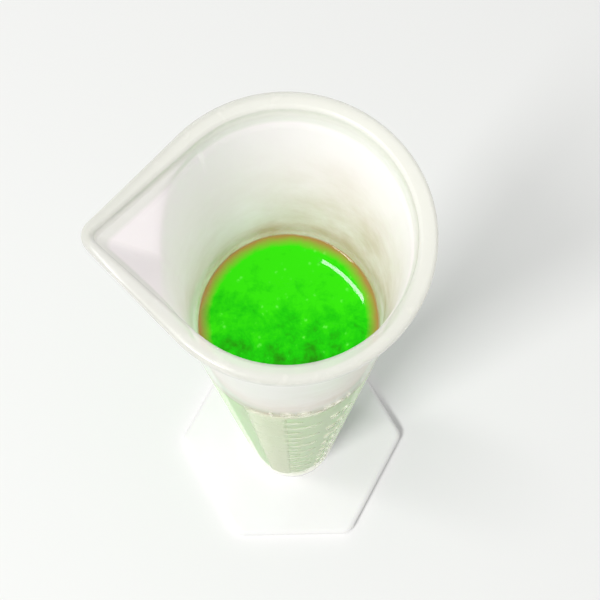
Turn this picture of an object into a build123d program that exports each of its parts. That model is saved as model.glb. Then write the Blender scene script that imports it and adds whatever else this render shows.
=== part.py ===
from build123d import *
import math
import os

# A 100 ml plastic measuring cylinder on a separate hexagonal foot.
# Millimetres, +Z up. The origin is on the tube's axis, level with the table.
# The spout points along -X and the scale faces -Y.

# Tube: the bore widens slightly upwards, as the moulding core needs, inside a straight wall.
overall_height = 250.0
bore_radius_at_floor = 12.9
bore_widening = 0.25
wall_at_mouth = 0.85
floor_thickness = 1.7
floor_corner_chamfer = 2.0
skirt_wall = 1.6
skirt_end_chamfer = 0.3

# Rim: a solid bead round the mouth, with the mouth opened a little wider than the bore.
bead_overhang = 1.5
bead_height = 1.8
bead_underside_drop = 1.2
bead_outer_round = 0.6
mouth_widening = 0.35
mouth_depth = 2.0
mouth_flare_length = 3.0
mouth_inner_round = 0.45

# Spout: every outline is a ring about the tube's axis joined to a small tip circle.
spout_length = 4.7
spout_tip_inner_radius = 0.8
spout_tip_wall = 1.0
spout_tip_bead = 0.2
spout_fall_angle = 52.6

# Scale: raised lines whose heights follow the volume that the bore holds.
full_volume_ml = 100
first_line_ml = 10
line_thickness = 0.4
line_relief = 0.3
scale_left_angle = -118.0
one_ml_line_sweep = 26.0
five_ml_line_sweep = 36.0
ten_ml_line_sweep = 50.0

# Foot: a hexagonal plate with a skirt, hollow below, and a spigot inside the tube's skirt.
foot_corner_reach = 38.45
foot_corner_round = 4.0
foot_height = 4.6
foot_edge_round = 1.8
foot_plate_thickness = 1.7
foot_wall = 1.7
foot_rib_thickness = 1.3
foot_rib_clearance = 0.5
spigot_height = 9.8
spigot_wall = 1.6
spigot_lead_chamfer = 0.8

# Fits
spigot_clearance = 0.05
spigot_top_gap = 0.4
liquid_clearance = 0.05

# Derived radii and heights
bore_radius_at_mouth = bore_radius_at_floor + bore_widening
wall_radius = bore_radius_at_mouth + wall_at_mouth
bead_radius = wall_radius + bead_overhang
mouth_radius = bore_radius_at_mouth + mouth_widening
spout_tip_centre = wall_radius + spout_length
spout_tip_wall_radius = spout_tip_inner_radius + spout_tip_wall
skirt_bore_radius = wall_radius - skirt_wall
spigot_radius = skirt_bore_radius - spigot_clearance
spigot_top = foot_height + spigot_height
floor_underside = spigot_top + spigot_top_gap
floor_top = floor_underside + floor_thickness
bore_slope = bore_widening / (overall_height - floor_top)
bead_bottom = overall_height - bead_height
keel_top = bead_bottom - bead_underside_drop
mouth_floor = overall_height - mouth_depth
flare_bottom = mouth_floor - mouth_flare_length
fall_direction = Vector(
    math.cos(math.radians(spout_fall_angle)), 0, -math.sin(math.radians(spout_fall_angle))
)


def bore_radius(height):
    """Radius of the drafted bore at a height above the table."""
    return bore_radius_at_floor + bore_slope * (height - floor_top)


def height_of_volume(millilitres):
    """Height at which the drafted bore holds this volume above its floor.

    The bore is a cone frustum, V = pi ((r0 + s h)^3 - r0^3) / (3 s), and the chamfered corner of
    the floor, a triangle carried round the bore, takes a little volume away.
    """
    corner_section = floor_corner_chamfer**2 / 2
    corner_path = 2 * math.pi * (bore_radius_at_floor - floor_corner_chamfer / 3)
    volume = millilitres * 1000 + corner_section * corner_path
    cube = bore_radius_at_floor**3 + 3 * bore_slope * volume / math.pi
    return floor_top + (cube ** (1 / 3) - bore_radius_at_floor) / bore_slope


def spout_tangents(ring_radius, tip_radius):
    """Points where the straight +Y side of a spout outline touches the ring and the tip circle."""
    side_angle = math.asin((ring_radius - tip_radius) / spout_tip_centre)
    sine, cosine = math.sin(side_angle), math.cos(side_angle)
    on_ring = Vector(-ring_radius * sine, ring_radius * cosine)
    on_tip = Vector(-spout_tip_centre - tip_radius * sine, tip_radius * cosine)
    return on_ring, on_tip


def spout_vee(ring_radius, tip_radius):
    """The two straight sides of a spout outline and the small arc round its tip."""
    on_ring, on_tip = spout_tangents(ring_radius, tip_radius)
    side = Line(on_ring, on_tip)
    tip = ThreePointArc(
        on_tip, (-spout_tip_centre - tip_radius, 0), Vector(on_tip.X, -on_tip.Y)
    )
    return side + tip + mirror(side, about=Plane.XZ)


def spout_outline(ring_radius, tip_radius):
    """Outline of rim or mouth from above: ring and tip circle with their common tangents."""
    on_ring, on_tip = spout_tangents(ring_radius, tip_radius)
    ring = ThreePointArc(on_ring, (ring_radius, 0), Vector(on_ring.X, -on_ring.Y))
    return make_face(spout_vee(ring_radius, tip_radius) + ring)


def spout_nose(ring_radius, tip_radius):
    """The part of that outline beyond the chord between its two points on the ring."""
    on_ring, on_tip = spout_tangents(ring_radius, tip_radius)
    chord = Line(on_ring, Vector(on_ring.X, -on_ring.Y))
    return make_face(spout_vee(ring_radius, tip_radius) + chord)


def fallen_nose(nose, top, inward_run):
    """The nose carried down along the spout's fall until it has moved inwards by inward_run."""
    length = inward_run / fall_direction.X
    return extrude(Pos(0, 0, top) * nose, length, dir=fall_direction)


def bore_wall(top, inset):
    """Corners of the bore's half section from the axis up to top, inset all round."""
    bottom = floor_top + inset
    return [
        (0, bottom),
        (bore_radius_at_floor - floor_corner_chamfer - inset, bottom),
        (bore_radius_at_floor - inset, bottom + floor_corner_chamfer),
        (bore_radius(top) - inset, top),
    ]


def turned(corners):
    """Solid of revolution about the tube's axis, from the corners of its half section."""
    outline = Polyline(*[(radius, 0, height) for radius, height in corners], close=True)
    return revolve(make_face(outline), axis=Axis.Z)


def make_rim():
    """Bead with its cone-shaped underside, and the spout's keel below it."""
    bead_outline = spout_outline(bead_radius, spout_tip_wall_radius + spout_tip_bead)
    wall_outline = spout_outline(wall_radius, spout_tip_wall_radius)
    bead = extrude(Pos(0, 0, bead_bottom) * bead_outline, bead_height)
    underside = loft(
        [
            (Pos(0, 0, keel_top) * wall_outline).face(),
            (Pos(0, 0, bead_bottom) * bead_outline).face(),
        ]
    )
    reach = spout_tip_centre + spout_tip_wall_radius
    keel = fallen_nose(
        spout_nose(wall_radius, spout_tip_wall_radius),
        keel_top,
        reach - bore_radius_at_floor + spout_tip_wall,
    )
    return bead + underside + keel


def make_hollow():
    """The hollow of the tube: bore, flare and mouth, with the spout's sloping trough."""
    round_hollow = turned(
        [
            *bore_wall(flare_bottom, 0),
            (mouth_radius, mouth_floor),
            (mouth_radius, overall_height),
            (0, overall_height),
        ]
    )
    nose = spout_nose(mouth_radius, spout_tip_inner_radius)
    notch = extrude(Pos(0, 0, mouth_floor) * nose, mouth_depth)
    reach = spout_tip_centre + spout_tip_inner_radius
    trough = fallen_nose(nose, mouth_floor, reach - bore_radius_at_floor + 2 * spout_tip_wall)
    return round_hollow + notch + trough


def make_tube():
    """The tube with skirt, floor, bore, bead and spout."""
    column = Pos(0, 0, foot_height) * Cylinder(
        wall_radius,
        keel_top - foot_height,
        align=(Align.CENTER, Align.CENTER, Align.MIN),
    )
    body = column + make_rim()
    skirt_bore = Pos(0, 0, foot_height) * Cylinder(
        skirt_bore_radius,
        floor_underside - foot_height,
        align=(Align.CENTER, Align.CENTER, Align.MIN),
    )
    body = body - make_hollow() - skirt_bore
    end_edges = body.edges().group_by(Axis.Z)[0]
    body = chamfer(end_edges, skirt_end_chamfer)
    top = body.faces().sort_by(Axis.Z)[-1]
    body = fillet(top.inner_wires()[0].edges(), mouth_inner_round)
    top = body.faces().sort_by(Axis.Z)[-1]
    body = fillet(top.outer_wire().edges(), bead_outer_round)
    return body


def make_graduation_lines():
    """One raised arc on the tube's wall for every millilitre, longer at each fifth and tenth."""
    lines = []
    for millilitres in range(first_line_ml, full_volume_ml + 1):
        if millilitres % 10 == 0:
            sweep = ten_ml_line_sweep
        elif millilitres % 5 == 0:
            sweep = five_ml_line_sweep
        else:
            sweep = one_ml_line_sweep
        bottom = height_of_volume(millilitres) - line_thickness / 2
        section = Pos(wall_radius, 0, bottom) * Rot(90, 0, 0) * Rectangle(
            line_relief, line_thickness, align=(Align.MIN, Align.MIN)
        )
        start = Rot(0, 0, scale_left_angle) * section
        lines += revolve(start, axis=Axis.Z, revolution_arc=sweep).solids()
    return Compound(children=lines)


def foot_outline(inset):
    """The hexagon with rounded corners, moved in by inset, corners on the X axis."""
    reach = foot_corner_reach - inset / math.cos(math.radians(30))
    outline = RegularPolygon(reach, 6)
    return fillet(outline.vertices(), foot_corner_round - inset)


def make_foot():
    """Hexagonal plate with skirt, hollow spigot and six ribs below, one to each corner."""
    plate = extrude(foot_outline(0), foot_height)
    plate = fillet(plate.edges().group_by(Axis.Z)[-1], foot_edge_round)
    hollow_height = foot_height - foot_plate_thickness
    body = plate - extrude(foot_outline(foot_wall), hollow_height)
    bottom = (Align.CENTER, Align.CENTER, Align.MIN)
    spigot = Cylinder(spigot_radius, spigot_top, align=bottom)
    spigot = chamfer(spigot.edges().sort_by(Axis.Z)[-1], spigot_lead_chamfer)
    rib_length = foot_corner_reach - foot_wall
    for corner in range(6):
        body += Rot(0, 0, 60 * corner) * Pos(rib_length / 2, 0, foot_rib_clearance) * Box(
            rib_length,
            foot_rib_thickness,
            hollow_height - foot_rib_clearance,
            align=bottom,
        )
    body += spigot
    return body - Cylinder(spigot_radius - spigot_wall, spigot_top - spigot_wall, align=bottom)


def make_liquid():
    """Green liquid filling the bore up to the full line."""
    level = height_of_volume(full_volume_ml)
    return turned([*bore_wall(level, liquid_clearance), (0, level)])


os.makedirs("parts", exist_ok=True)
export_step(make_tube(), "parts/tube.step")
export_step(make_graduation_lines(), "parts/graduation_lines.step")
export_step(make_foot(), "parts/hexagonal_foot.step")
export_step(make_liquid(), "parts/green_liquid.step")
print("full line at", round(height_of_volume(full_volume_ml), 2), "floor at", round(floor_top, 2))
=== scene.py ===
import math

import bpy
import numpy as np
from mathutils import Matrix, Vector


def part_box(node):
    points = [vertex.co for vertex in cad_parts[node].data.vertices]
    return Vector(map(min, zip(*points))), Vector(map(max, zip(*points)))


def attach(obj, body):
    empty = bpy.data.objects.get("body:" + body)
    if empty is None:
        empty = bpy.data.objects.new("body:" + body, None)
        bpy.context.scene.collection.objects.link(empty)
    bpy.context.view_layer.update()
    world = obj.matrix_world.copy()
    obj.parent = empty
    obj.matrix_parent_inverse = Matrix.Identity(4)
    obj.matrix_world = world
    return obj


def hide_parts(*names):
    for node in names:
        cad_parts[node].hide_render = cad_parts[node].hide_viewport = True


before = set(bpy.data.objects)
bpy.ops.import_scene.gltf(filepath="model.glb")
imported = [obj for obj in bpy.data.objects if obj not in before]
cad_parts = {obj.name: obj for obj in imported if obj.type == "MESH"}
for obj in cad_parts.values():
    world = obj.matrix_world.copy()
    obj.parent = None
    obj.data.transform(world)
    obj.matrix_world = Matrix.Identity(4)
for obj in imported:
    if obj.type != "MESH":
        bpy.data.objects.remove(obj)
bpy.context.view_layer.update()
mm = 0.001


# Hexagonal foot
# The tube stands on a hollow moulding of opaque white plastic, a hexagon with rounded corners
# and a rounded upper edge. Its spigot stands up inside the tube's skirt.
foot_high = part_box("hexagonal_foot")[1]
foot_half_flat = foot_high.y
foot_corner_round = 4.0 * mm
foot_edge_round = 1.8 * mm
foot_height = 4.6 * mm
foot_wall = 1.7 * mm
foot_plate = 1.7 * mm
spigot_radius = 12.35 * mm
spigot_wall = 1.6 * mm
spigot_chamfer = 0.8 * mm
spigot_top = foot_high.z


def closed_round(name, rings, first_pole, last_pole):
    """Closed mesh from rings of points round an axis: a quad joins each point to its neighbours on
    its ring and on the next ring, and a fan of triangles joins each end ring to its pole."""
    stations, columns = rings.shape[:2]
    points = np.concatenate([rings.reshape(-1, 3), [first_pole, last_pole]])
    along, around = np.meshgrid(np.arange(stations - 1), np.arange(columns), indexing="ij")
    here = along * columns + around
    beside = along * columns + (around + 1) % columns
    quads = np.stack([here, beside, beside + columns, here + columns], axis=-1).reshape(-1, 4)
    column = np.arange(columns)
    following = (column + 1) % columns
    last_ring = (stations - 1) * columns
    pole = stations * columns
    start_fan = np.stack([np.full(columns, pole), following, column], axis=-1)
    end_fan = np.stack([np.full(columns, pole + 1), last_ring + column, last_ring + following], -1)
    faces = quads.tolist() + start_fan.tolist() + end_fan.tolist()
    mesh = bpy.data.meshes.new(name)
    mesh.from_pydata(points.tolist(), [], faces)
    mesh.shade_smooth()
    piece = bpy.data.objects.new(name, mesh)
    bpy.context.scene.collection.objects.link(piece)
    return piece


def rounded_corner(start, corner, end, radius, steps):
    """Points of a fillet: the circle of that radius that touches the two sides of a corner, from
    the side towards start to the side towards end. Each is two numbers, distance out and height."""
    start, corner, end = (np.array(p, float) for p in (start, corner, end))
    back = (start - corner) / np.linalg.norm(start - corner)
    ahead = (end - corner) / np.linalg.norm(end - corner)
    half = math.acos(np.clip(back @ ahead, -1, 1)) / 2
    centre = corner + (back + ahead) / np.linalg.norm(back + ahead) * radius / math.sin(half)
    first = corner + back * radius / math.tan(half) - centre
    last = corner + ahead * radius / math.tan(half) - centre
    share = np.linspace(0, 1, steps)[:, None]
    sweep = math.pi - 2 * half
    blend = (np.sin((1 - share) * sweep) * first + np.sin(share * sweep) * last) / math.sin(sweep)
    return centre + blend


def foot_columns(per_side):
    """Angles round the foot, closer together towards the corners: in each sixth the angle from the
    middle of the flat is 30 degrees times the sine of an evenly stepped quarter turn."""
    step = np.linspace(-1, 1, per_side, endpoint=False)
    within = math.radians(30) * np.sin(step * math.pi / 2)
    middles = math.radians(30) + math.radians(60) * np.arange(6)
    return (middles[:, None] + within[None, :]).ravel()


def hexagon_reach(angles, inset):
    """Distance from the axis to the foot's outline moved in by inset: the flat's distance over the
    cosine of the angle off its middle, or near a corner the far side of the corner's circle."""
    off_middle = np.abs((angles % math.radians(60)) - math.radians(30))
    flat = (foot_half_flat - inset) / np.cos(off_middle)
    centre = (foot_half_flat - foot_corner_round) / math.cos(math.radians(30))
    off_corner = math.radians(30) - off_middle
    radius = foot_corner_round - inset
    under_root = np.clip(radius**2 - (centre * np.sin(off_corner)) ** 2, 0, None)
    arc = centre * np.cos(off_corner) + np.sqrt(under_root)
    touch = math.atan2(centre * math.sin(math.radians(30)), foot_half_flat - inset)
    return np.where(off_middle > touch, arc, flat)


def foot_rings(angles, section):
    """Rings of the foot: a section point is round with its own radius, or follows the hexagon with
    its own inset, at its own height."""
    rings = np.empty((len(section), len(angles), 3))
    for station, (kind, size, height) in enumerate(section):
        reach = np.full(len(angles), size) if kind == "round" else hexagon_reach(angles, size)
        rings[station, :, 0] = reach * np.cos(angles)
        rings[station, :, 1] = reach * np.sin(angles)
        rings[station, :, 2] = height
    return rings


def foot_section():
    """Section of the foot from under the spigot's cap, out below the plate, up the rounded edge
    and in over the plate to the spigot's cap. Small rounds soften every corner."""
    under = foot_height - foot_plate
    small = 0.25 * mm
    inner = spigot_radius - spigot_wall
    cap = spigot_top - spigot_wall
    round_part = [(0.3 * inner, cap), (inner, cap), (inner, 0), (spigot_radius, 0)]
    round_part += [(spigot_radius, under), (0.5 * foot_half_flat, under)]
    section = [("round", *round_part[0])]
    for before, corner, after in zip(round_part, round_part[1:], round_part[2:]):
        section += [("round", *p) for p in rounded_corner(before, corner, after, small, 4)]
    hollow = [(foot_wall + 4 * mm, under), (foot_wall, under), (foot_wall, 0), (0, 0)]
    hollow += [(0, foot_height), (foot_wall + 4 * mm, foot_height)]
    rounds = [small, small, small, foot_edge_round]
    for number, radius in enumerate(rounds):
        steps = 12 if radius == foot_edge_round else 4
        corner = rounded_corner(*hollow[number : number + 3], radius, steps)
        section += [("hexagon", *p) for p in corner]
    spigot = [(0.6 * foot_half_flat, foot_height), (spigot_radius, foot_height)]
    spigot += [(spigot_radius, spigot_top - spigot_chamfer)]
    spigot += [(spigot_radius - spigot_chamfer, spigot_top), (0.3 * spigot_radius, spigot_top)]
    section += [("round", *spigot[0])]
    for before, corner, after in zip(spigot, spigot[1:], spigot[2:]):
        section += [("round", *p) for p in rounded_corner(before, corner, after, small, 4)]
    return section + [("round", *spigot[-1])]


columns_per_side = 36
foot_angles = foot_columns(columns_per_side)
foot_points = foot_rings(foot_angles, foot_section())
foot = closed_round(
    "foot_moulding",
    foot_points,
    (0, 0, spigot_top - spigot_wall),
    (0, 0, spigot_top),
)
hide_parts("hexagonal_foot")


def moulded_surface_group():
    """Surface of a moulded plastic part: faint cloudiness in the colour from a slow noise, a finer
    noise that lifts the roughness, and a fine orange peel as height."""
    group = bpy.data.node_groups.new("moulded_surface", "ShaderNodeTree")
    for name, kind in (
        ("Colour", "NodeSocketColor"),
        ("Cloud Colour", "NodeSocketColor"),
        ("Cloud Scale", "NodeSocketFloat"),
        ("Roughness", "NodeSocketFloat"),
        ("Roughness Spread", "NodeSocketFloat"),
        ("Peel Scale", "NodeSocketFloat"),
    ):
        group.interface.new_socket(name=name, in_out="INPUT", socket_type=kind)
    for name, kind in (
        ("Colour", "NodeSocketColor"),
        ("Roughness", "NodeSocketFloat"),
        ("Height", "NodeSocketFloat"),
    ):
        group.interface.new_socket(name=name, in_out="OUTPUT", socket_type=kind)
    nodes, links = group.nodes, group.links
    given = nodes.new("NodeGroupInput")
    result = nodes.new("NodeGroupOutput")
    place = nodes.new("ShaderNodeTexCoord")
    cloud = nodes.new("ShaderNodeTexNoise")
    cloud.inputs["Detail"].default_value = 3
    cloud.inputs["Roughness"].default_value = 0.6
    links.new(place.outputs["Object"], cloud.inputs["Vector"])
    links.new(given.outputs["Cloud Scale"], cloud.inputs["Scale"])
    ramp = nodes.new("ShaderNodeMapRange")
    ramp.inputs["From Min"].default_value = 0.38
    ramp.inputs["From Max"].default_value = 0.68
    links.new(cloud.outputs["Fac"], ramp.inputs["Value"])
    tint = nodes.new("ShaderNodeMix")
    tint.data_type = "RGBA"
    links.new(ramp.outputs["Result"], tint.inputs["Factor"])
    links.new(given.outputs["Colour"], tint.inputs["A"])
    links.new(given.outputs["Cloud Colour"], tint.inputs["B"])
    links.new(tint.outputs["Result"], result.inputs["Colour"])
    peel = nodes.new("ShaderNodeTexNoise")
    peel.inputs["Detail"].default_value = 2
    links.new(place.outputs["Object"], peel.inputs["Vector"])
    links.new(given.outputs["Peel Scale"], peel.inputs["Scale"])
    links.new(peel.outputs["Fac"], result.inputs["Height"])
    spread = nodes.new("ShaderNodeMath")
    spread.operation = "MULTIPLY_ADD"
    links.new(ramp.outputs["Result"], spread.inputs[0])
    links.new(given.outputs["Roughness Spread"], spread.inputs[1])
    links.new(given.outputs["Roughness"], spread.inputs[2])
    links.new(spread.outputs["Value"], result.inputs["Roughness"])
    return group


moulded_surface = moulded_surface_group()


def moulded_material(name, colour, cloud, cloud_scale, roughness, spread, peel_scale, peel_depth):
    """Principled plastic with the moulded surface as colour, roughness and bump height. Returns
    the material and its shader, so that a piece can add what only it has."""
    material = bpy.data.materials.new(name)
    material.use_nodes = True
    nodes, links = material.node_tree.nodes, material.node_tree.links
    shader = nodes["Principled BSDF"]
    surface = nodes.new("ShaderNodeGroup")
    surface.node_tree = moulded_surface
    surface.name = "moulded_surface"
    surface.inputs["Colour"].default_value = (*colour, 1)
    surface.inputs["Cloud Colour"].default_value = (*cloud, 1)
    surface.inputs["Cloud Scale"].default_value = cloud_scale
    surface.inputs["Roughness"].default_value = roughness
    surface.inputs["Roughness Spread"].default_value = spread
    surface.inputs["Peel Scale"].default_value = peel_scale
    bump = nodes.new("ShaderNodeBump")
    bump.inputs["Strength"].default_value = 0.6
    bump.inputs["Distance"].default_value = peel_depth
    links.new(surface.outputs["Height"], bump.inputs["Height"])
    links.new(bump.outputs["Normal"], shader.inputs["Normal"])
    links.new(surface.outputs["Colour"], shader.inputs["Base Color"])
    links.new(surface.outputs["Roughness"], shader.inputs["Roughness"])
    return material, shader


white_plastic, white_shader = moulded_material(
    "white_moulded_plastic",
    colour=(0.9, 0.898, 0.885),
    cloud=(0.88, 0.873, 0.855),
    cloud_scale=28,
    roughness=0.38,
    spread=0.1,
    peel_scale=1400,
    peel_depth=0.00002,
)
white_shader.inputs["Subsurface Weight"].default_value = 0.15
white_shader.inputs["Subsurface Radius"].default_value = (0.004, 0.004, 0.0035)
white_shader.inputs["Subsurface Scale"].default_value = 0.5
foot.data.materials.append(white_plastic)
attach(foot, "foot")


# Foot ribs
# Six thin ribs run below the plate from the spigot to the corners and keep it flat. They are
# moulded with the foot and end just above the table.
rib_thickness = 1.3 * mm
rib_clearance = 0.5 * mm
rib_root = spigot_radius - 0.4 * mm
rib_end = hexagon_reach(np.array([0.0]), foot_wall)[0] + 0.4 * mm


def rib_points(direction):
    """Eight corners of one rib, thinner at its lower edge, turned to its direction."""
    top = foot_height - foot_plate + 0.2 * mm
    corners = []
    for height, half in ((rib_clearance, 0.42 * rib_thickness), (top, 0.5 * rib_thickness)):
        corners += [(rib_root, -half, height), (rib_end, -half, height)]
        corners += [(rib_end, half, height), (rib_root, half, height)]
    turn = np.array(Matrix.Rotation(direction, 3, "Z"))
    return np.array(corners) @ turn.T


rib_sides = [(3, 2, 1, 0), (4, 5, 6, 7), (0, 1, 5, 4), (1, 2, 6, 5), (2, 3, 7, 6), (3, 0, 4, 7)]
ribs_mesh = bpy.data.meshes.new("foot_ribs")
ribs_mesh.from_pydata(
    np.concatenate([rib_points(math.radians(60 * corner)) for corner in range(6)]).tolist(),
    [],
    [tuple(8 * rib + point for point in side) for rib in range(6) for side in rib_sides],
)
ribs = bpy.data.objects.new("foot_ribs", ribs_mesh)
bpy.context.scene.collection.objects.link(ribs)
rib_bevel = ribs.modifiers.new("soft_edges", "BEVEL")
rib_bevel.width = 0.2 * mm
rib_bevel.segments = 2
ribs.data.materials.append(white_plastic)
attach(ribs, "foot")


# Tube
# The measuring tube is one moulding in natural translucent polypropylene: skirt, floor, a long
# bore that widens slightly upwards, a solid bead round the mouth and a V-shaped pouring spout.
tube_low, tube_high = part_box("tube")
top = tube_high.z
wall_radius = 14.0 * mm
bead_radius = tube_high.y
bead_tip_reach = -tube_low.x
skirt_bore = 12.4 * mm
floor_underside = 14.8 * mm
floor_top = 16.5 * mm
floor_corner = 2.0 * mm
bore_at_floor = 12.9 * mm
bore_widening = 0.25 * mm
mouth_radius = 13.5 * mm
mouth_floor = top - 2.0 * mm
flare_bottom = mouth_floor - 3.0 * mm
bead_bottom = top - 1.8 * mm
keel_top = bead_bottom - 1.2 * mm
tip_centre = 18.7 * mm
tip_inner = 0.8 * mm
tip_wall = 1.8 * mm
fall_slope = math.tan(math.radians(52.6))
skirt_round = 0.3 * mm
plain_wall_start = 12 * mm


def bore_radius(height):
    """Bore radius at a height: straight from its value at the floor to its value at the top."""
    return bore_at_floor + bore_widening * (height - floor_top) / (top - floor_top)


def tube_columns():
    """Angles from the spout's direction, half turn to half turn: even steps warped by a cube, so
    that they lie close together round the spout's narrow tip."""
    step = np.linspace(-1, 1, 288, endpoint=False)
    return math.pi * (0.3 * step + 0.7 * step**3)


def spout_reach(off_spout, ring, tip, fallen):
    """Distance from the axis to the spout's two straight sides and tip arc, moved towards the axis
    by fallen. The sides touch the ring, so each lies a ring's radius from the axis, less the
    fallen part along its normal. Beyond the side's normal the ring itself is further out."""
    off = np.abs(off_spout)
    normal = math.acos((ring - tip) / tip_centre)
    side = (ring - fallen * math.cos(normal)) / np.cos(np.minimum(off, 1.2) - normal)
    centre = tip_centre - fallen
    under_root = np.clip(tip**2 - (centre * np.sin(off)) ** 2, 0, None)
    arc = centre * np.cos(off) + np.sqrt(under_root)
    touch = math.atan2(tip * math.sin(normal), centre + tip * math.cos(normal))
    reach = np.where(off < touch, arc, side)
    return np.where(off < normal, reach, 0)


def soft_larger(first, second, blend):
    """Larger of two distances with a rounded change-over: half of their sum and of the root of
    their squared difference and the squared blend."""
    return (first + second + np.sqrt((first - second) ** 2 + blend**2)) / 2


def outer_stations():
    """Outer surface upwards. Each station is height, ring, spout ring, tip radius and fallen."""
    skirt = [(0.3 * skirt_bore, floor_underside), (skirt_bore, floor_underside)]
    skirt += [(skirt_bore, tube_low.z), (wall_radius, tube_low.z), (wall_radius, 100 * mm)]
    stations = [(skirt[0][1], skirt[0][0], 0, 0, 0)]
    for before, corner, after in zip(skirt, skirt[1:], skirt[2:]):
        for out, height in rounded_corner(before, corner, after, skirt_round, 4):
            stations.append((height, out, 0, 0, 0))
    keel_bottom = keel_top - (tip_centre + tip_wall - bore_at_floor) * fall_slope
    wall = np.linspace(plain_wall_start, keel_bottom, 12)
    keel = np.linspace(keel_bottom, keel_top, 41)[1:-1]
    for height in np.concatenate([wall, keel]):
        fallen = (keel_top - height) / fall_slope
        stations.append((height, wall_radius, wall_radius, tip_wall, fallen))
    return stations


def bead_stations():
    """Bead: out along its underside, up, round the outer edge, across the top, and round the
    mouth's edge. The tip radius grows and shrinks with the ring, so the rim keeps its width."""
    bead_tip = bead_tip_reach - tip_centre
    profile = [(wall_radius, keel_top - 2 * mm), (wall_radius, keel_top)]
    profile += [(bead_radius, bead_bottom), (bead_radius, top), (mouth_radius, top)]
    profile += [(mouth_radius, mouth_floor)]
    rounds = [0.3 * mm, 0.5 * mm, 0.6 * mm, 0.45 * mm]
    stations = []
    for number, radius in enumerate(rounds):
        steps = 5 if number < 2 else 9
        for out, height in rounded_corner(*profile[number : number + 3], radius, steps):
            share = (out - wall_radius) / (bead_radius - wall_radius)
            tip = tip_wall + share * (bead_tip - tip_wall)
            if number == 3:
                tip = tip_inner + (out - mouth_radius)
            stations.append((height, out, out, tip, 0))
    return stations


def inner_stations():
    """Inner surface downwards: straight mouth, the trough's fall with the flare, bore and floor."""
    stations = [(mouth_floor, mouth_radius, mouth_radius, tip_inner, 0)]
    trough = (tip_centre + tip_inner - bore_at_floor) * fall_slope
    for height in np.linspace(mouth_floor, mouth_floor - trough, 49)[1:]:
        flare = np.clip((mouth_floor - height) / (mouth_floor - flare_bottom), 0, 1)
        smooth = flare * flare * (3 - 2 * flare)
        ring = mouth_radius + (bore_radius(height) - mouth_radius) * smooth
        fallen = (mouth_floor - height) / fall_slope
        stations.append((height, ring, mouth_radius, tip_inner, fallen))
    for height in np.linspace(mouth_floor - trough, floor_top + 4 * mm, 13)[1:]:
        stations.append((height, bore_radius(height), 0, 0, 0))
    floor_profile = [(bore_at_floor, floor_top + 6 * mm), (bore_at_floor, floor_top)]
    floor_profile += [(0.3 * bore_at_floor, floor_top)]
    for out, height in rounded_corner(*floor_profile, floor_corner, 8):
        stations.append((height, out, 0, 0, 0))
    stations.append((floor_top, 0.3 * bore_at_floor, 0, 0, 0))
    return stations


def tube_rings(off_spout, stations, blend):
    """Rings of the tube: at each station the larger of ring and spout, blended softly, laid out
    round the axis with the spout along -X."""
    rings = np.empty((len(stations), len(off_spout), 3))
    for number, (height, ring, spout_ring, tip, fallen) in enumerate(stations):
        reach = np.full(len(off_spout), ring)
        if spout_ring > 0 and tip_centre + tip - fallen > 0.9 * ring:
            spout = spout_reach(off_spout, spout_ring, tip, fallen)
            reach = soft_larger(reach, spout, blend * min(1.0, fallen / (1.5 * mm)))
        rings[number, :, 0] = -reach * np.cos(off_spout)
        rings[number, :, 1] = -reach * np.sin(off_spout)
        rings[number, :, 2] = height
    return rings


keel_blend = 0.4 * mm
trough_blend = 1.0 * mm
tube_angles = tube_columns()
outside_rings = tube_rings(tube_angles, outer_stations() + bead_stations(), keel_blend)
inside_rings = tube_rings(tube_angles, inner_stations(), trough_blend)
tube_points = np.concatenate([outside_rings, inside_rings])
tube = closed_round("measuring_tube", tube_points, (0, 0, floor_underside), (0, 0, floor_top))
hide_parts("tube")
inner_face = np.zeros(len(tube.data.vertices), np.float32)
inner_face[outside_rings.shape[0] * outside_rings.shape[1] :] = 1
inner_face[-2] = 0
tube.data.attributes.new("inner_face", "FLOAT", "POINT").data.foreach_set("value", inner_face)

translucent, translucent_shader = moulded_material(
    "translucent_polypropylene",
    colour=(0.97, 0.965, 0.945),
    cloud=(0.955, 0.94, 0.91),
    cloud_scale=60,
    roughness=0.3,
    spread=0.08,
    peel_scale=900,
    peel_depth=0.000004,
)
translucent_shader.inputs["IOR"].default_value = 1.49
translucent_shader.inputs["Transmission Weight"].default_value = 0.1
translucent_shader.inputs["Coat Roughness"].default_value = 0.12
translucent_shader.inputs["Subsurface Weight"].default_value = 0.2
translucent_shader.inputs["Subsurface Radius"].default_value = (0.0015, 0.0015, 0.0014)
translucent_shader.inputs["Subsurface Scale"].default_value = 1.0
# Painted glow: the wall gives off light in its own colour on the empty inside and below the level,
# standing in for light scattered through it.
translucent_shader.inputs["Emission Strength"].default_value = 0.2

liquid_low, liquid_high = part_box("green_liquid")
liquid_level = liquid_high.z
stain_level = liquid_level + 1.2 * mm
# The warm inside is a tint painted on the empty inside to cancel the green light the liquid throws
# there.
painted_warm_inside = (1.0, 0.88, 0.91, 1)
# The rim's grey is partly the thick plastic's own tone and partly painted shade.
thick_rim_and_shade = (0.74, 0.74, 0.665, 1)
wet_film = (0.97, 1.0, 0.62, 1)
# The brown blush is a painted reflection of the liquid on the wall above the level.
painted_brown_reflection = (0.5, 0.33, 0.19, 1)
ochre_ring = (0.5, 0.27, 0.08, 1)
wall_cover = 0.55
empty_wall_cover = 0.25
share_let_through = 0.97
coat_outside = 0.6
inside_dullness = 0.35


def mapped(nodes, links, value, low, high, to_low=0.0, to_high=1.0):
    """Value from low to high spread over to_low to to_high, and held at these beyond."""
    spread = nodes.new("ShaderNodeMapRange")
    spread.inputs["From Min"].default_value = low
    spread.inputs["From Max"].default_value = high
    spread.inputs["To Min"].default_value = to_low
    spread.inputs["To Max"].default_value = to_high
    links.new(value, spread.inputs["Value"])
    return spread.outputs["Result"]


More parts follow.
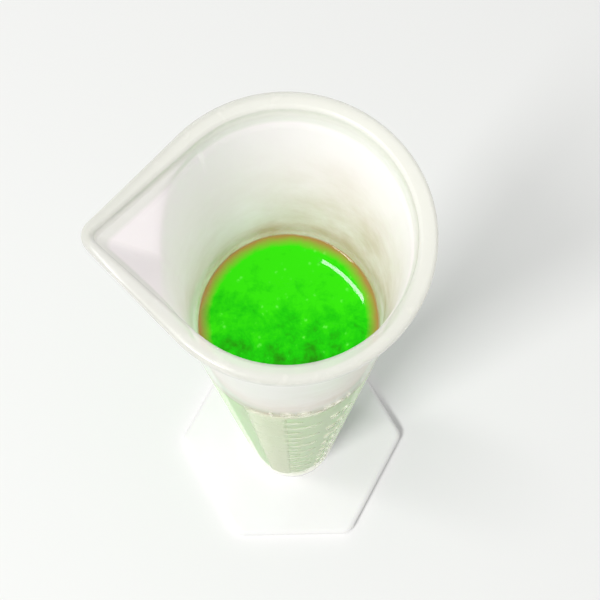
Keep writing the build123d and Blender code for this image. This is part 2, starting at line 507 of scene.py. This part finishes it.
def multiplied(nodes, links, first, second, added=0.0):
    """First times second plus added. The last two may be plain numbers."""
    product = nodes.new("ShaderNodeMath")
    product.operation = "MULTIPLY_ADD"
    links.new(first, product.inputs[0])
    for socket, term in ((product.inputs[1], second), (product.inputs[2], added)):
        if isinstance(term, float):
            socket.default_value = term
        else:
            links.new(term, socket)
    return product.outputs["Value"]


def larger(nodes, links, first, second):
    """Larger of two masks."""
    pick = nodes.new("ShaderNodeMath")
    pick.operation = "MAXIMUM"
    links.new(first, pick.inputs[0])
    links.new(second, pick.inputs[1])
    return pick.outputs["Value"]


def layered(nodes, links, share, below, above):
    """Colour above laid over colour below by a share. Either may be a plain colour."""
    layer = nodes.new("ShaderNodeMix")
    layer.data_type = "RGBA"
    links.new(share, layer.inputs["Factor"])
    for socket, colour in ((layer.inputs["A"], below), (layer.inputs["B"], above)):
        if isinstance(colour, tuple):
            socket.default_value = colour
        else:
            links.new(colour, socket)
    return layer.outputs["Result"]


def noise_of(nodes, links, vector, scale, detail, roughness=0.5):
    """Noise of a scale, detail and roughness at each point of a vector."""
    noise = nodes.new("ShaderNodeTexNoise")
    noise.inputs["Scale"].default_value = scale
    noise.inputs["Detail"].default_value = detail
    noise.inputs["Roughness"].default_value = roughness
    links.new(vector, noise.inputs["Vector"])
    return noise


def height_band(nodes, links, height, low, high, rise, fall):
    """Mask that is one from low to high and fades to nothing over rise below and fall above."""
    climb = mapped(nodes, links, height, low - rise, low)
    drop = mapped(nodes, links, height, high + fall, high)
    return multiplied(nodes, links, climb, drop)


def tube_masks(nodes, links):
    """Masks over the tube. Bands in height, shifted by noise, give the empty part, the film below
    the level, the ring at it and above it a brown blush, a painted reflection of the liquid, which
    is patchy and stronger on the side away from the spout. The ring and the painted reflection show
    more weakly through the outer face."""
    place = nodes.new("ShaderNodeTexCoord").outputs["Object"]
    parts = nodes.new("ShaderNodeSeparateXYZ")
    links.new(place, parts.inputs["Vector"])
    uneven = noise_of(nodes, links, place, 420, 4).outputs["Fac"]
    height = multiplied(nodes, links, uneven, 2.4 * mm, parts.outputs["Z"])
    attribute = nodes.new("ShaderNodeAttribute")
    attribute.attribute_name = "inner_face"
    inside = attribute.outputs["Fac"]
    patch = noise_of(nodes, links, place, 110, 5, 0.65).outputs["Fac"]
    patches = mapped(nodes, links, patch, 0.35, 0.65, 0.35)
    seen = multiplied(nodes, links, patches, multiplied(nodes, links, inside, 0.3, 0.7))
    away = mapped(nodes, links, parts.outputs["X"], -6 * mm, 12 * mm, 0.3)
    leaning = multiplied(nodes, links, seen, away)
    level = stain_level
    ring = height_band(nodes, links, height, level - 1 * mm, level + 2.5 * mm, 2 * mm, 5 * mm)
    # Painted reflection of the liquid: a brown band above the level.
    painted_reflection_blush = height_band(nodes, links, height, level, level + 10 * mm, 1 * mm, 28 * mm)
    film = height_band(nodes, links, height, floor_top, level - 1 * mm, 2 * mm, 1 * mm)
    empty = height_band(nodes, links, height, level + 1 * mm, top, 2 * mm, 1 * mm)
    outside = multiplied(nodes, links, inside, -1.0, 1.0)
    return {
        "inside": inside,
        "empty_inside": multiplied(nodes, links, empty, inside),
        "empty_outside": multiplied(nodes, links, empty, outside),
        "rim": height_band(nodes, links, parts.outputs["Z"], keel_top, top, 0.6 * mm, 1 * mm),
        "film": film,
        "painted_reflection_blush": multiplied(nodes, links, painted_reflection_blush, leaning),
        "ring": multiplied(nodes, links, ring, seen),
    }


def stained(nodes, links, shader, masks):
    """Tints laid over the plastic's colour: a warm tint painted on the empty inside against the
    green light the liquid throws there, a greyer rim that is partly the thick plastic's own tone
    and partly painted shade, a film below the level, a brown blush above it that is a painted
    reflection of the liquid, and the ochre ring the liquid has left. A painted glow in the same
    colour, on the empty inside and below the level, stands in for light scattered in the wall."""
    colour = shader.inputs["Base Color"].links[0].from_socket
    for name, strength, tint in (
        ("empty_inside", 0.8, painted_warm_inside),
        ("rim", 0.9, thick_rim_and_shade),
        ("film", 0.9, wet_film),
        ("painted_reflection_blush", 1.0, painted_brown_reflection),
        ("ring", 1.0, ochre_ring),
    ):
        share = multiplied(nodes, links, masks[name], strength)
        colour = layered(nodes, links, share, colour, tint)
    links.new(colour, shader.inputs["Base Color"])
    # Painted glow: emission in the wall's colour where it is empty inside or below the level.
    painted_glow = larger(nodes, links, masks["empty_inside"], masks["film"])
    links.new(layered(nodes, links, painted_glow, (0, 0, 0, 1), colour), shader.inputs["Emission Color"])


def partly_clear(nodes, links, shader, masks):
    """Cover of the wall, more on the empty part's outside. Shadow rays and diffuse rays meet only a
    small share of it, so that light reaches the inside as it does through thin plastic."""
    empty_outside = masks["empty_outside"]
    cover = multiplied(nodes, links, empty_outside, empty_wall_cover, wall_cover)
    ray = nodes.new("ShaderNodeLightPath")
    passing = larger(nodes, links, ray.outputs["Is Shadow Ray"], ray.outputs["Is Diffuse Ray"])
    met = multiplied(nodes, links, passing, -share_let_through, 1.0)
    links.new(multiplied(nodes, links, cover, met), shader.inputs["Alpha"])


def dull_inside(nodes, links, shader, masks):
    """Only the outer face is polished: the coat goes and roughness is added on the inner face."""
    inside = masks["inside"]
    coat = multiplied(nodes, links, inside, -coat_outside, coat_outside)
    links.new(coat, shader.inputs["Coat Weight"])
    surface = shader.inputs["Roughness"].links[0].from_socket
    rough = multiplied(nodes, links, inside, inside_dullness, surface)
    links.new(rough, shader.inputs["Roughness"])


tube_nodes, tube_links = translucent.node_tree.nodes, translucent.node_tree.links
wall_masks = tube_masks(tube_nodes, tube_links)
stained(tube_nodes, tube_links, translucent_shader, wall_masks)
partly_clear(tube_nodes, tube_links, translucent_shader, wall_masks)
dull_inside(tube_nodes, tube_links, translucent_shader, wall_masks)
tube.data.materials.append(translucent)
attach(tube, "cylinder")


# Graduation lines
# Raised lines on the front of the tube, moulded with it: one for each millilitre, longer at each
# fifth and tenth. Their heights follow the volume of the drafted bore.
millilitre = 1000 * mm**3
first_line = 10
full_line = 100
line_relief = 0.3 * mm
line_half = 0.2 * mm
line_left = math.radians(-118)
line_sweeps = {1: math.radians(26), 5: math.radians(36), 10: math.radians(50)}


def height_of_volume(millilitres):
    """Height where the bore holds this volume: the cone frustum's volume, solved for height. The
    floor's chamfered corner takes away a triangle carried round the bore."""
    slope = bore_widening / (top - floor_top)
    lost = floor_corner**2 / 2 * 2 * math.pi * (bore_at_floor - floor_corner / 3)
    cube = bore_at_floor**3 + 3 * slope * (millilitres * millilitre + lost) / math.pi
    return floor_top + (np.cbrt(cube) - bore_at_floor) / slope


def line_points(height, sweep):
    """One line as a closed strip: a low half-round section, widest at the wall, carried round the
    tube, with its two ends drawn in."""
    angles = np.linspace(line_left, line_left + sweep, 9)
    fade = np.ones(len(angles))
    fade[[0, -1]] = 0.35
    across = np.array([-1.0, -0.8, -0.35, 0.35, 0.8, 1.0])
    lift = np.array([-0.1, 0.75, 1.0, 1.0, 0.75, -0.1])
    reach = wall_radius + line_relief * lift[None, :] * fade[:, None]
    level = height + line_half * across[None, :] * fade[:, None]
    x = reach * np.cos(angles)[:, None]
    y = reach * np.sin(angles)[:, None]
    return np.stack([x, y, level], axis=-1).reshape(-1, 3)


def strip_faces(rows, columns, offset):
    """Quads of a strip of rows by columns, closed across, with both ends capped."""
    along, across = np.meshgrid(np.arange(rows - 1), np.arange(columns), indexing="ij")
    here = offset + along * columns + across
    beside = offset + along * columns + (across + 1) % columns
    quads = np.stack([here, here + columns, beside + columns, beside], axis=-1).reshape(-1, 4)
    first = tuple(offset + np.arange(columns))
    last = tuple(offset + (rows - 1) * columns + np.arange(columns)[::-1])
    return quads.tolist() + [first, last]


marks = range(first_line, full_line + 1)
mark_points = []
mark_faces = []
for number, millilitres in enumerate(marks):
    every = 10 if millilitres % 10 == 0 else 5 if millilitres % 5 == 0 else 1
    mark_points.append(line_points(height_of_volume(millilitres), line_sweeps[every]))
    mark_faces += strip_faces(9, 6, number * 54)
lines_mesh = bpy.data.meshes.new("raised_lines")
lines_mesh.from_pydata(np.concatenate(mark_points).tolist(), [], mark_faces)
lines_mesh.shade_smooth()
lines = bpy.data.objects.new("raised_lines", lines_mesh)
bpy.context.scene.collection.objects.link(lines)
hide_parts("graduation_lines")

scale_plastic, scale_shader = moulded_material(
    "raised_scale",
    colour=(0.95, 0.94, 0.78),
    cloud=(0.9, 0.88, 0.72),
    cloud_scale=200,
    roughness=0.25,
    spread=0.1,
    peel_scale=2500,
    peel_depth=0.00001,
)
scale_shader.inputs["Alpha"].default_value = 0.3
scale_shader.inputs["Subsurface Weight"].default_value = 0.4
scale_shader.inputs["Subsurface Radius"].default_value = (0.002, 0.002, 0.0018)
scale_shader.inputs["Subsurface Scale"].default_value = 0.5
lines.data.materials.append(scale_plastic)
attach(lines, "cylinder")


# Figures
# Plain raised numbers stand beside each tenth line, and the volume above the top one. They are
# moulded with the tube, in the same plastic as the lines.
figure_height = 3.4 * mm
figure_relief = 0.25 * mm
figure_angle = math.radians(-54)
font_size = 1.4 * figure_height
volume_angle = math.radians(-79)
volume_lift = 2.9 * mm


def wrapped_text(words, height, angle):
    """Text made a mesh, then bent round the wall: its width becomes an angle of width over the
    wall's radius, its own thickness becomes distance from the wall."""
    curve = bpy.data.curves.new("figure", "FONT")
    curve.body = words
    curve.size = font_size
    curve.extrude = figure_relief
    curve.align_x = "CENTER"
    curve.align_y = "CENTER"
    curve.resolution_u = 4
    holder = bpy.data.objects.new("figure", curve)
    bpy.context.scene.collection.objects.link(holder)
    shown = holder.evaluated_get(bpy.context.evaluated_depsgraph_get())
    mesh = bpy.data.meshes.new_from_object(shown)
    bpy.data.objects.remove(holder)
    flat = np.empty(len(mesh.vertices) * 3)
    mesh.vertices.foreach_get("co", flat)
    flat = flat.reshape(-1, 3)
    turn = angle + flat[:, 0] / wall_radius
    reach = wall_radius + flat[:, 2]
    bent = np.stack([reach * np.cos(turn), reach * np.sin(turn), height + flat[:, 1]], axis=-1)
    mesh.vertices.foreach_set("co", bent.ravel())
    return mesh


figure_meshes = [
    wrapped_text(str(millilitres), float(height_of_volume(millilitres)), figure_angle)
    for millilitres in range(first_line, full_line, 10)
]
volume_height = float(height_of_volume(full_line)) + volume_lift
figure_meshes.append(wrapped_text("100 ml", volume_height, volume_angle))
figure_points = []
figure_faces = []
for mesh in figure_meshes:
    start = len(figure_points)
    figure_points += [tuple(vertex.co) for vertex in mesh.vertices]
    figure_faces += [tuple(start + v for v in polygon.vertices) for polygon in mesh.polygons]
    bpy.data.meshes.remove(mesh)
figures_mesh = bpy.data.meshes.new("raised_figures")
figures_mesh.from_pydata(figure_points, [], figure_faces)
figures = bpy.data.objects.new("raised_figures", figures_mesh)
bpy.context.scene.collection.objects.link(figures)
figures.data.materials.append(scale_plastic)
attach(figures, "cylinder")


# Green liquid
# Bright green liquid fills the bore up to the full line. Its surface is level in the middle and
# climbs a little at the wall, where it has left an ochre ring.
wetted_depth = 0.15 * mm
meniscus_rise = 1.3 * mm
meniscus_length = 3.0 * mm
meniscus_top = liquid_level + 0.1 * mm


def liquid_rings(columns):
    """Rings of the liquid: up the bore, just into its wetted wall, then in over the surface, whose
    height falls off from the wall with the exponential of the distance from it."""
    angles = np.linspace(0, 2 * math.pi, columns, endpoint=False)
    bottom = liquid_low.z
    side = bore_at_floor + wetted_depth
    corner = rounded_corner(
        (0.3 * side, bottom), (side, bottom), (side, bottom + 6 * mm), floor_corner, 8
    )
    section = [(0.3 * side, bottom)] + [tuple(p) for p in corner]
    for height in np.linspace(bottom + 6 * mm, meniscus_top, 24):
        section.append((bore_radius(height) + wetted_depth, height))
    edge = bore_radius(meniscus_top) + wetted_depth
    for distance in edge * np.linspace(0, 1, 48)[1:-1] ** 1.5:
        fallen = meniscus_rise * (1 - math.exp(-distance / meniscus_length))
        section.append((edge - distance, meniscus_top - fallen))
    rings = np.empty((len(section), columns, 3))
    section = np.array(section)
    rings[:, :, 0] = section[:, None, 0] * np.cos(angles)
    rings[:, :, 1] = section[:, None, 0] * np.sin(angles)
    rings[:, :, 2] = section[:, None, 1]
    return rings


liquid_reach = 13.1 * mm
liquid_middle = meniscus_top - meniscus_rise * (1 - math.exp(-liquid_reach / meniscus_length))
liquid = closed_round(
    "green_fill", liquid_rings(160), (0, 0, liquid_low.z), (0, 0, liquid_middle)
)
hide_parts("green_liquid")

surface_start = liquid_level - 1.6 * mm
# The darkest green also serves as painted shade at the front of the liquid.
deep_green_and_shade = (0.015, 0.22, 0.0, 1)
middle_green = (0.01, 0.52, 0.0, 1)
bright_green = (0.03, 0.68, 0.0, 1)
froth_green = (0.16, 0.86, 0.08, 1)
ochre_edge = (0.34, 0.22, 0.05, 1)


def liquid_colour(nodes, links, place, froth):
    """Swirls from a fine noise through a ramp of three greens, with painted shade that darkens it
    towards the front, where the front wall shades the liquid. Flecks of froth stand where both a
    cell pattern and the noise are high. An ochre edge lies on the surface where the distance from
    the axis, made uneven by the noise, nears the wall. Returns the colour and the height."""
    parts = nodes.new("ShaderNodeSeparateXYZ")
    links.new(place, parts.inputs["Vector"])
    swirl_noise = noise_of(nodes, links, place, 330, 7, 0.68)
    swirl_noise.inputs["Distortion"].default_value = 0.25
    swirl = swirl_noise.outputs["Fac"]
    ramp = nodes.new("ShaderNodeValToRGB")
    steps = ramp.color_ramp.elements
    steps[0].position, steps[0].color = 0.22, deep_green_and_shade
    steps[1].position, steps[1].color = 0.42, middle_green
    steps.new(0.62).color = bright_green
    # Painted shade: the colour darkens towards the front, where the front wall shades the liquid.
    links.new(multiplied(nodes, links, parts.outputs["Y"], 22.0, swirl), ramp.inputs["Fac"])
    fleck = mapped(nodes, links, froth, 0.3, 0.12)
    where = mapped(nodes, links, swirl, 0.52, 0.6, 0.0, 0.6)
    share = multiplied(nodes, links, fleck, where)
    colour = layered(nodes, links, share, ramp.outputs["Color"], froth_green)
    flat = nodes.new("ShaderNodeCombineXYZ")
    links.new(parts.outputs["X"], flat.inputs["X"])
    links.new(parts.outputs["Y"], flat.inputs["Y"])
    reach = nodes.new("ShaderNodeVectorMath")
    reach.operation = "LENGTH"
    links.new(flat.outputs["Vector"], reach.inputs[0])
    uneven_reach = multiplied(nodes, links, swirl, 1.2 * mm, reach.outputs["Value"])
    near_wall = mapped(nodes, links, uneven_reach, 12.0 * mm, 13.6 * mm)
    on_surface = mapped(nodes, links, parts.outputs["Z"], surface_start, surface_start + 0.4 * mm)
    edge = multiplied(nodes, links, near_wall, on_surface)
    return layered(nodes, links, edge, colour, ochre_edge), parts.outputs["Z"]


def green_material():
    """Opaque green liquid: a mirror-smooth surface, hardly rippled, and a side that is dull where
    it wets the wall."""
    material = bpy.data.materials.new("green_liquid")
    material.use_nodes = True
    nodes, links = material.node_tree.nodes, material.node_tree.links
    shader = nodes["Principled BSDF"]
    shader.inputs["IOR"].default_value = 1.36
    shader.inputs["Specular IOR Level"].default_value = 0.25
    place = nodes.new("ShaderNodeTexCoord").outputs["Object"]
    cells = nodes.new("ShaderNodeTexVoronoi")
    cells.inputs["Scale"].default_value = 900
    links.new(place, cells.inputs["Vector"])
    froth = cells.outputs["Distance"]
    colour, height = liquid_colour(nodes, links, place, froth)
    links.new(colour, shader.inputs["Base Color"])
    rough = mapped(nodes, links, height, surface_start, surface_start + 0.1 * mm, 0.9, 0.04)
    links.new(rough, shader.inputs["Roughness"])
    ripple = nodes.new("ShaderNodeBump")
    ripple.inputs["Strength"].default_value = 0.1
    ripple.inputs["Distance"].default_value = 0.000004
    links.new(froth, ripple.inputs["Height"])
    links.new(ripple.outputs["Normal"], shader.inputs["Normal"])
    return material


green = green_material()
liquid.data.materials.append(green)
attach(liquid, "cylinder")


# Table and light
# A plain pale table under a soft studio window from the front left, so that the shadow falls to
# the right and behind. A long lamp overhead draws the streak on the liquid. The camera looks
# almost straight down on the mouth.
table_mesh = bpy.data.meshes.new("table")
table_size = 3.0
table_mesh.from_pydata(
    [(x * table_size, y * table_size, 0) for x, y in ((-1, -1), (1, -1), (1, 1), (-1, 1))],
    [],
    [(0, 1, 2, 3)],
)
table = bpy.data.objects.new("table", table_mesh)
bpy.context.scene.collection.objects.link(table)
table_material = bpy.data.materials.new("table")
table_material.use_nodes = True
table_shader = table_material.node_tree.nodes["Principled BSDF"]
table_shader.inputs["Base Color"].default_value = (0.84, 0.84, 0.83, 1)
table_shader.inputs["Roughness"].default_value = 0.7
table.data.materials.append(table_material)

world = bpy.data.worlds.new("studio")
bpy.context.scene.world = world
world.use_nodes = True
room = world.node_tree.nodes["Background"]
room.inputs["Color"].default_value = (1, 1, 1, 1)
room.inputs["Strength"].default_value = 0.5


def area_lamp(name, place, aim, width, height, power, spin=0.0):
    """Rectangular area lamp at a place, turned to shine at a point, then spun about its beam."""
    data = bpy.data.lights.new(name, "AREA")
    data.shape = "RECTANGLE"
    data.size = width
    data.size_y = height
    data.energy = power
    lamp = bpy.data.objects.new(name, data)
    bpy.context.scene.collection.objects.link(lamp)
    lamp.location = place
    beam = (Vector(aim) - Vector(place)).to_track_quat("-Z", "Y").to_matrix()
    lamp.rotation_euler = (beam @ Matrix.Rotation(spin, 3, "Z")).to_euler()
    return lamp


area_lamp("window", (-0.86, -0.72, 1.73), (0, 0, 0.05), 0.5, 0.5, 23.5)
area_lamp("tube_light", (-0.205, 0.03, 1.0), (0, 0, 0.2), 0.23, 0.045, 1.4, math.radians(70))

spout_turn = math.radians(2.58)
camera_lens = 57.9
camera_tilt = math.radians(12.82)
camera_roll = math.radians(1.48)
camera_offset = Vector((1.6008, -28.2739, 93.4489)) * mm
unturn = Matrix.Rotation(-spout_turn, 3, "Z")
camera_data = bpy.data.cameras.new("camera")
camera_data.sensor_width = 36
camera_data.lens = camera_lens
camera_data.clip_start = 0.01
camera = bpy.data.objects.new("camera", camera_data)
bpy.context.scene.collection.objects.link(camera)
camera_turn = unturn @ Matrix.Rotation(camera_tilt, 3, "X") @ Matrix.Rotation(camera_roll, 3, "Z")
camera.rotation_euler = camera_turn.to_euler()
camera.location = unturn @ camera_offset + Vector((0, 0, top))
bpy.context.scene.camera = camera

bpy.context.scene.view_settings.view_transform = "Standard"
